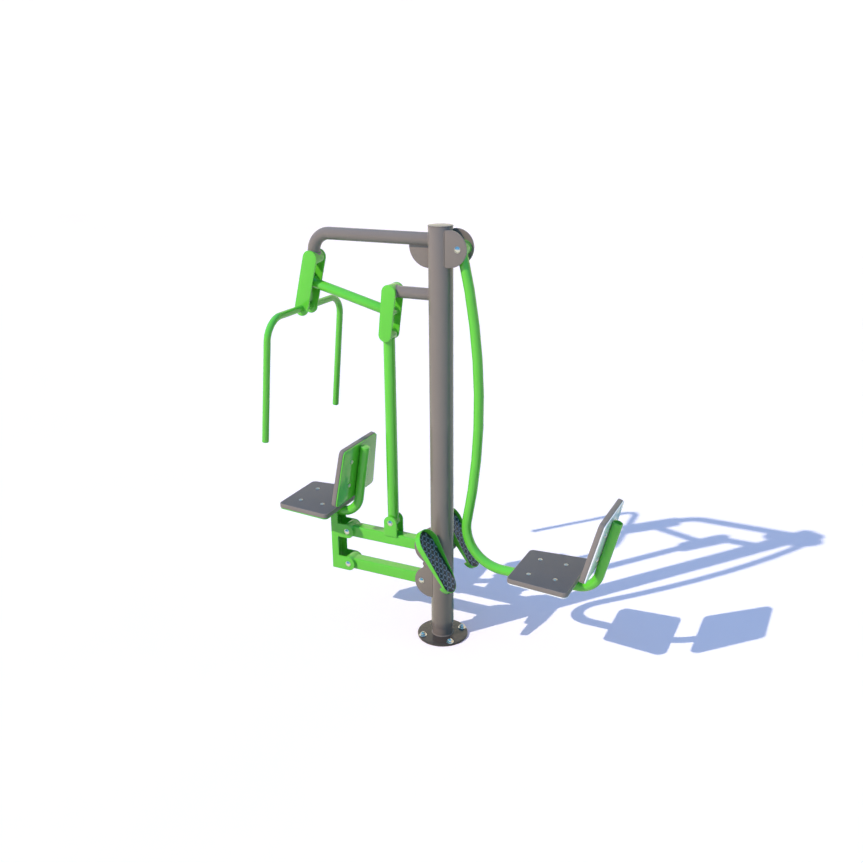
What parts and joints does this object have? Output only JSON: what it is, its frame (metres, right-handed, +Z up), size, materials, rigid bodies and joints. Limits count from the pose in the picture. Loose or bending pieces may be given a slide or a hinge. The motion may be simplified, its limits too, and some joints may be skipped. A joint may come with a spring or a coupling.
{
  "type": "two-station outdoor gym unit",
  "caption": "Outdoor gym post with a seated press that lifts its own seat through a linkage, and a leg press seat hanging on a swing tube before two foot plates.",
  "frame": {"origin": "centre of the anchor stud circle on the ground, on the post's axis", "axes": "+Z up along the post, +X towards the leg press seat, +Y across the unit; the press station is on -X"},
  "size_m": [1.7561, 0.6878, 2.14],
  "materials": {
    "green_paint": "glossy bright green powder coat",
    "brown_paint": "satin grey-brown powder coat",
    "dark_paint": "glossy near-black powder coat",
    "white_paint": "white powder coat",
    "bright_bolts": "polished bright plating",
    "seat_board": "fine-grained dark grey board with eased edges",
    "tread_mat": "black anti-slip mat with raised diamonds"
  },
  "bodies": {
    "frame": {"base_flange": "dark_paint", "anchor_studs": "bright_bolts", "neck_tube": "dark_paint", "post": "brown_paint", "post_cap": "brown_paint", "top_arm": "brown_paint", "top_arm_gusset": "brown_paint", "lever_bearing": "green_paint", "rocker_arm": "brown_paint", "rocker_bearing": "green_paint", "swing_cheeks": "brown_paint", "arm_cheeks": "brown_paint", "stop_lug": "brown_paint", "swing_pin": "bright_bolts", "upper_post_pin": "bright_bolts", "lower_post_pin": "bright_bolts", "pedal_bars": "brown_paint", "near_pedal": "green_paint", "far_pedal": "green_paint", "near_tread": "tread_mat", "far_tread": "tread_mat"},
    "lever": {"lever_plates": "green_paint", "lever_pin": "bright_bolts", "lever_link_pin": "bright_bolts", "handlebar": "green_paint", "grip_ends": "green_paint"},
    "link": {"link_tube": "green_paint", "link_sleeves": "green_paint"},
    "rocker": {"rocker_plates": "green_paint", "rocker_pin": "bright_bolts", "rocker_link_pin": "bright_bolts", "rocker_rod_pin": "bright_bolts"},
    "rod": {"rod_tube": "green_paint", "rod_sleeves": "green_paint"},
    "upper_arm": {"upper_arm": "green_paint", "upper_arm_sleeves": "green_paint", "rod_fork": "green_paint", "rod_fork_pin": "bright_bolts"},
    "lower_arm": {"lower_arm": "green_paint", "lower_arm_sleeves": "green_paint"},
    "seat_carrier": {"seat_bracket": "green_paint", "upper_seat_pin": "bright_bolts", "lower_seat_pin": "bright_bolts", "press_seat_tube": "green_paint", "press_seat_backing": "green_paint", "press_seat_panel": "seat_board", "press_seat_bolts": "bright_bolts", "press_back_backing": "green_paint", "press_back_panel": "seat_board", "press_back_bolts": "bright_bolts"},
    "leg_swing": {"swing_tube": "green_paint", "swing_bearing": "green_paint", "leg_seat_backing": "white_paint", "leg_seat_panel": "seat_board", "leg_seat_bolts": "bright_bolts", "leg_back_backing": "white_paint", "leg_back_panel": "seat_board", "leg_back_bolts": "bright_bolts"}
  },
  "joints": [
    {"name": "seat_lift", "type": "hinge", "parent": "frame", "child": "upper_arm", "pos_m": [-0.096, 0, 0.493], "axis": [0, 1, 0], "range_deg": [0, 14]},
    {"name": "lower_arm_swing", "type": "hinge", "parent": "frame", "child": "lower_arm", "pos_m": [-0.096, 0, 0.307], "axis": [0, 1, 0], "range_deg": [0, 14]},
    {"name": "carrier_swing", "type": "hinge", "parent": "upper_arm", "child": "seat_carrier", "pos_m": [-0.526, 0, 0.493], "axis": [0, 1, 0], "range_deg": [-14, 0]},
    {"name": "rod_swing", "type": "hinge", "parent": "upper_arm", "child": "rod", "pos_m": [-0.273, 0, 0.587], "axis": [0, 1, 0], "range_deg": [-21, 0]},
    {"name": "rocker_swing", "type": "hinge", "parent": "frame", "child": "rocker", "pos_m": [-0.248, 0, 1.764], "axis": [0, 1, 0], "range_deg": [0, 26.7]},
    {"name": "lever_swing", "type": "hinge", "parent": "frame", "child": "lever", "pos_m": [-0.67, 0, 1.895], "axis": [0, 1, 0], "range_deg": [0, 22.6]},
    {"name": "link_swing", "type": "hinge", "parent": "lever", "child": "link", "pos_m": [-0.69879, 0, 1.77954], "axis": [0, 1, 0], "range_deg": [-22.1, 0]},
    {"name": "leg_press_swing", "type": "hinge", "parent": "frame", "child": "leg_swing", "pos_m": [0.10158, 0, 1.981], "axis": [0, -1, 0], "range_deg": [0, 30]}
  ],
  "couplings": [
    {"joint": "lower_arm_swing", "follows": "seat_lift", "ratio": 1},
    {"joint": "carrier_swing", "follows": "seat_lift", "ratio": -1},
    {"joint": "rod_swing", "follows": "seat_lift", "ratio": -1.496},
    {"joint": "rocker_swing", "follows": "seat_lift", "ratio": 1.902},
    {"joint": "lever_swing", "follows": "seat_lift", "ratio": 1.611},
    {"joint": "link_swing", "follows": "seat_lift", "ratio": -1.572}
  ]
}
